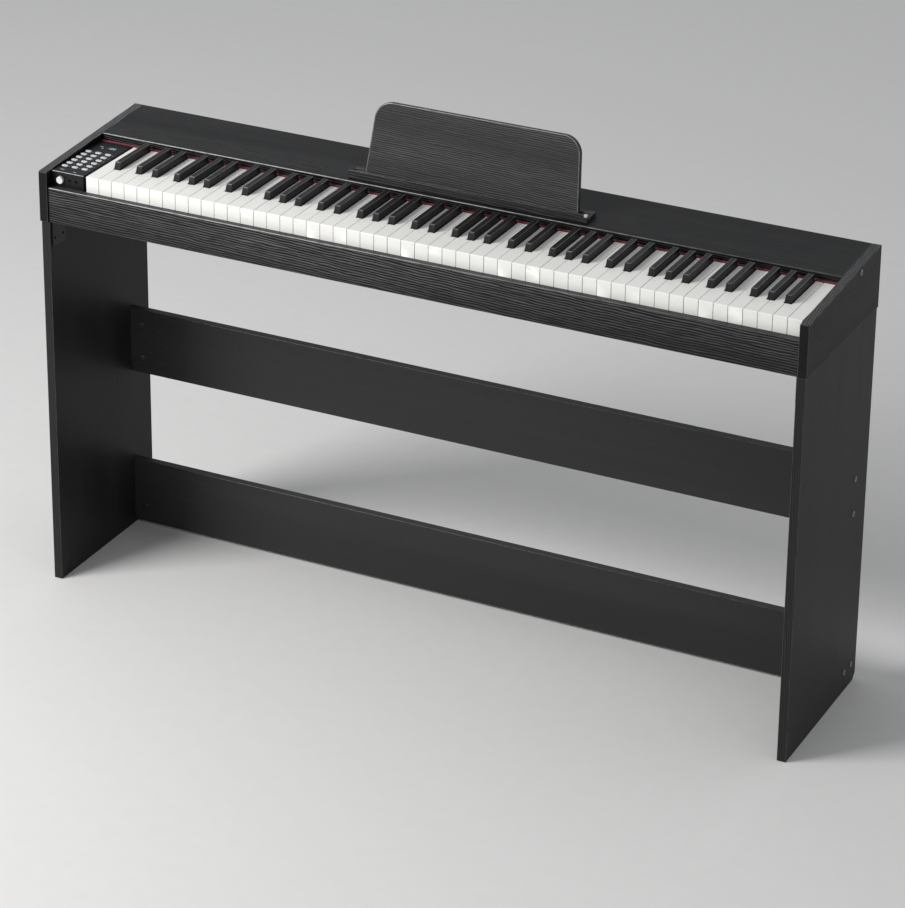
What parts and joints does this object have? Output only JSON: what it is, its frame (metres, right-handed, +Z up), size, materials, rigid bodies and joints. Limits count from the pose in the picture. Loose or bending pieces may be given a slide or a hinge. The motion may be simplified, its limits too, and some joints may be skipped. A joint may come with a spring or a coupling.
{
  "type": "digital piano on stand",
  "caption": "Slim digital piano in a black wood-grain cabinet with full-size keys and a music rest, carried by two board legs with a middle rail and a foot rail.",
  "frame": {"origin": "on the floor, under the centre of the piano's bounding box", "axes": "+X to the treble end, +Y to the back, +Z up"},
  "size_m": [1.3194, 0.301, 0.8666],
  "materials": {
    "black_laminate": "black open-pore wood-grain laminate, low sheen",
    "white_key_plastic": "warm white moulded plastic, semi-gloss",
    "black_key_plastic": "matte black moulded plastic",
    "grey_buttons": "silver-grey moulded rubber, satin",
    "silver_knob": "silver painted plastic",
    "panel_plastic": "black moulded plastic, fine texture",
    "frame_plastic": "black moulded plastic",
    "red_felt": "dark red felt",
    "circuit_board": "green solder mask",
    "speaker_steel": "black painted steel",
    "bracket_steel": "black powder coat",
    "bolt_steel": "black zinc plated steel"
  },
  "bodies": {
    "cabinet_and_stand": {"left_cheek": "black_laminate", "right_cheek": "black_laminate", "left_cheek_screw": "bolt_steel", "right_cheek_screw": "bolt_steel", "top_cover": "black_laminate", "back_board": "black_laminate", "key_slip": "black_laminate", "bottom_board": "black_laminate", "key_frame": "frame_plastic", "key_contact_board": "circuit_board", "key_felt": "red_felt", "left_speaker": "speaker_steel", "right_speaker": "speaker_steel", "panel_housing": "panel_plastic", "main_board": "circuit_board", "rear_jack_plate": "panel_plastic", "left_leg": "black_laminate", "right_leg": "black_laminate", "mid_rail": "black_laminate", "foot_rail": "black_laminate", "foot_shelf": "black_laminate", "music_rest_ledge": "black_laminate", "music_rest_board": "black_laminate", "left_rail_bolt_upper": "bolt_steel", "left_rail_bolt_lower": "bolt_steel", "left_foot_bolt_front": "bolt_steel", "left_foot_bolt_rear": "bolt_steel", "left_front_bracket": "bracket_steel", "left_rear_bracket": "bracket_steel", "right_rail_bolt_upper": "bolt_steel", "right_rail_bolt_lower": "bolt_steel", "right_foot_bolt_front": "bolt_steel", "right_foot_bolt_rear": "bolt_steel", "right_front_bracket": "bracket_steel", "right_rear_bracket": "bracket_steel"},
    "white_keys_outer_1": {"white_keys_outer_1": "white_key_plastic"},
    "white_keys_inner_1": {"white_keys_inner_1": "white_key_plastic"},
    "black_keys_1": {"black_keys_1": "black_key_plastic"},
    "white_keys_outer_2": {"white_keys_outer_2": "white_key_plastic"},
    "white_keys_inner_2": {"white_keys_inner_2": "white_key_plastic"},
    "black_keys_2": {"black_keys_2": "black_key_plastic"},
    "white_keys_outer_3": {"white_keys_outer_3": "white_key_plastic"},
    "white_keys_inner_3": {"white_keys_inner_3": "white_key_plastic"},
    "black_keys_3": {"black_keys_3": "black_key_plastic"},
    "white_keys_outer_4": {"white_keys_outer_4": "white_key_plastic"},
    "white_keys_inner_4": {"white_keys_inner_4": "white_key_plastic"},
    "black_keys_4": {"black_keys_4": "black_key_plastic"},
    "white_keys_outer_5": {"white_keys_outer_5": "white_key_plastic"},
    "white_keys_inner_5": {"white_keys_inner_5": "white_key_plastic"},
    "black_keys_5": {"black_keys_5": "black_key_plastic"},
    "white_keys_outer_6": {"white_keys_outer_6": "white_key_plastic"},
    "white_keys_inner_6": {"white_keys_inner_6": "white_key_plastic"},
    "black_keys_6": {"black_keys_6": "black_key_plastic"},
    "white_keys_outer_7": {"white_keys_outer_7": "white_key_plastic"},
    "white_keys_inner_7": {"white_keys_inner_7": "white_key_plastic"},
    "black_keys_7": {"black_keys_7": "black_key_plastic"},
    "button_row_1": {"button_row_1": "grey_buttons"},
    "button_row_2": {"button_row_2": "grey_buttons"},
    "button_row_3": {"button_row_3": "grey_buttons"},
    "volume_knob": {"volume_knob": "silver_knob"}
  },
  "joints": [
    {"name": "white_keys_outer_1_press", "type": "hinge", "parent": "cabinet_and_stand", "child": "white_keys_outer_1", "pos_m": [0, 0.0905, 0.7172], "axis": [1, 0, 0], "range_deg": [0, 2.6], "stiffness_Nm_per_rad": 2, "springref_deg": -17.19},
    {"name": "white_keys_inner_1_press", "type": "hinge", "parent": "cabinet_and_stand", "child": "white_keys_inner_1", "pos_m": [0, 0.0905, 0.7102], "axis": [1, 0, 0], "range_deg": [0, 2.6], "stiffness_Nm_per_rad": 2, "springref_deg": -17.19},
    {"name": "black_keys_1_press", "type": "hinge", "parent": "cabinet_and_stand", "child": "black_keys_1", "pos_m": [0, 0.0905, 0.7032], "axis": [1, 0, 0], "range_deg": [0, 2.6], "stiffness_Nm_per_rad": 2, "springref_deg": -14.32},
    {"name": "white_keys_outer_2_press", "type": "hinge", "parent": "cabinet_and_stand", "child": "white_keys_outer_2", "pos_m": [0, 0.0905, 0.7172], "axis": [1, 0, 0], "range_deg": [0, 2.6], "stiffness_Nm_per_rad": 2, "springref_deg": -17.19},
    {"name": "white_keys_inner_2_press", "type": "hinge", "parent": "cabinet_and_stand", "child": "white_keys_inner_2", "pos_m": [0, 0.0905, 0.7102], "axis": [1, 0, 0], "range_deg": [0, 2.6], "stiffness_Nm_per_rad": 2, "springref_deg": -17.19},
    {"name": "black_keys_2_press", "type": "hinge", "parent": "cabinet_and_stand", "child": "black_keys_2", "pos_m": [0, 0.0905, 0.7032], "axis": [1, 0, 0], "range_deg": [0, 2.6], "stiffness_Nm_per_rad": 2, "springref_deg": -14.32},
    {"name": "white_keys_outer_3_press", "type": "hinge", "parent": "cabinet_and_stand", "child": "white_keys_outer_3", "pos_m": [0, 0.0905, 0.7172], "axis": [1, 0, 0], "range_deg": [0, 2.6], "stiffness_Nm_per_rad": 2, "springref_deg": -17.19},
    {"name": "white_keys_inner_3_press", "type": "hinge", "parent": "cabinet_and_stand", "child": "white_keys_inner_3", "pos_m": [0, 0.0905, 0.7102], "axis": [1, 0, 0], "range_deg": [0, 2.6], "stiffness_Nm_per_rad": 2, "springref_deg": -17.19},
    {"name": "black_keys_3_press", "type": "hinge", "parent": "cabinet_and_stand", "child": "black_keys_3", "pos_m": [0, 0.0905, 0.7032], "axis": [1, 0, 0], "range_deg": [0, 2.6], "stiffness_Nm_per_rad": 2, "springref_deg": -14.32},
    {"name": "white_keys_outer_4_press", "type": "hinge", "parent": "cabinet_and_stand", "child": "white_keys_outer_4", "pos_m": [0, 0.0905, 0.7172], "axis": [1, 0, 0], "range_deg": [0, 2.6], "stiffness_Nm_per_rad": 2, "springref_deg": -17.19},
    {"name": "white_keys_inner_4_press", "type": "hinge", "parent": "cabinet_and_stand", "child": "white_keys_inner_4", "pos_m": [0, 0.0905, 0.7102], "axis": [1, 0, 0], "range_deg": [0, 2.6], "stiffness_Nm_per_rad": 2, "springref_deg": -17.19},
    {"name": "black_keys_4_press", "type": "hinge", "parent": "cabinet_and_stand", "child": "black_keys_4", "pos_m": [0, 0.0905, 0.7032], "axis": [1, 0, 0], "range_deg": [0, 2.6], "stiffness_Nm_per_rad": 2, "springref_deg": -14.32},
    {"name": "white_keys_outer_5_press", "type": "hinge", "parent": "cabinet_and_stand", "child": "white_keys_outer_5", "pos_m": [0, 0.0905, 0.7172], "axis": [1, 0, 0], "range_deg": [0, 2.6], "stiffness_Nm_per_rad": 2, "springref_deg": -17.19},
    {"name": "white_keys_inner_5_press", "type": "hinge", "parent": "cabinet_and_stand", "child": "white_keys_inner_5", "pos_m": [0, 0.0905, 0.7102], "axis": [1, 0, 0], "range_deg": [0, 2.6], "stiffness_Nm_per_rad": 2, "springref_deg": -17.19},
    {"name": "black_keys_5_press", "type": "hinge", "parent": "cabinet_and_stand", "child": "black_keys_5", "pos_m": [0, 0.0905, 0.7032], "axis": [1, 0, 0], "range_deg": [0, 2.6], "stiffness_Nm_per_rad": 2, "springref_deg": -14.32},
    {"name": "white_keys_outer_6_press", "type": "hinge", "parent": "cabinet_and_stand", "child": "white_keys_outer_6", "pos_m": [0, 0.0905, 0.7172], "axis": [1, 0, 0], "range_deg": [0, 2.6], "stiffness_Nm_per_rad": 2, "springref_deg": -17.19},
    {"name": "white_keys_inner_6_press", "type": "hinge", "parent": "cabinet_and_stand", "child": "white_keys_inner_6", "pos_m": [0, 0.0905, 0.7102], "axis": [1, 0, 0], "range_deg": [0, 2.6], "stiffness_Nm_per_rad": 2, "springref_deg": -17.19},
    {"name": "black_keys_6_press", "type": "hinge", "parent": "cabinet_and_stand", "child": "black_keys_6", "pos_m": [0, 0.0905, 0.7032], "axis": [1, 0, 0], "range_deg": [0, 2.6], "stiffness_Nm_per_rad": 2, "springref_deg": -14.32},
    {"name": "white_keys_outer_7_press", "type": "hinge", "parent": "cabinet_and_stand", "child": "white_keys_outer_7", "pos_m": [0, 0.0905, 0.7172], "axis": [1, 0, 0], "range_deg": [0, 2.6], "stiffness_Nm_per_rad": 2, "springref_deg": -17.19},
    {"name": "white_keys_inner_7_press", "type": "hinge", "parent": "cabinet_and_stand", "child": "white_keys_inner_7", "pos_m": [0, 0.0905, 0.7102], "axis": [1, 0, 0], "range_deg": [0, 2.6], "stiffness_Nm_per_rad": 2, "springref_deg": -17.19},
    {"name": "black_keys_7_press", "type": "hinge", "parent": "cabinet_and_stand", "child": "black_keys_7", "pos_m": [0, 0.0905, 0.7032], "axis": [1, 0, 0], "range_deg": [0, 2.6], "stiffness_Nm_per_rad": 2, "springref_deg": -14.32},
    {"name": "button_row_1_press", "type": "slide", "parent": "cabinet_and_stand", "child": "button_row_1", "axis": [0, 0, -1], "range_m": [0, 0.0012], "stiffness_N_per_m": 1000, "springref_m": -0.001},
    {"name": "button_row_2_press", "type": "slide", "parent": "cabinet_and_stand", "child": "button_row_2", "axis": [0, 0, -1], "range_m": [0, 0.0012], "stiffness_N_per_m": 1000, "springref_m": -0.001},
    {"name": "button_row_3_press", "type": "slide", "parent": "cabinet_and_stand", "child": "button_row_3", "axis": [0, 0, -1], "range_m": [0, 0.0012], "stiffness_N_per_m": 1000, "springref_m": -0.001},
    {"name": "volume_turn", "type": "hinge", "parent": "cabinet_and_stand", "child": "volume_knob", "pos_m": [-0.62625, -0.1345, 0.718], "axis": [0, -1, 0], "range_deg": [-150, 150]}
  ]
}
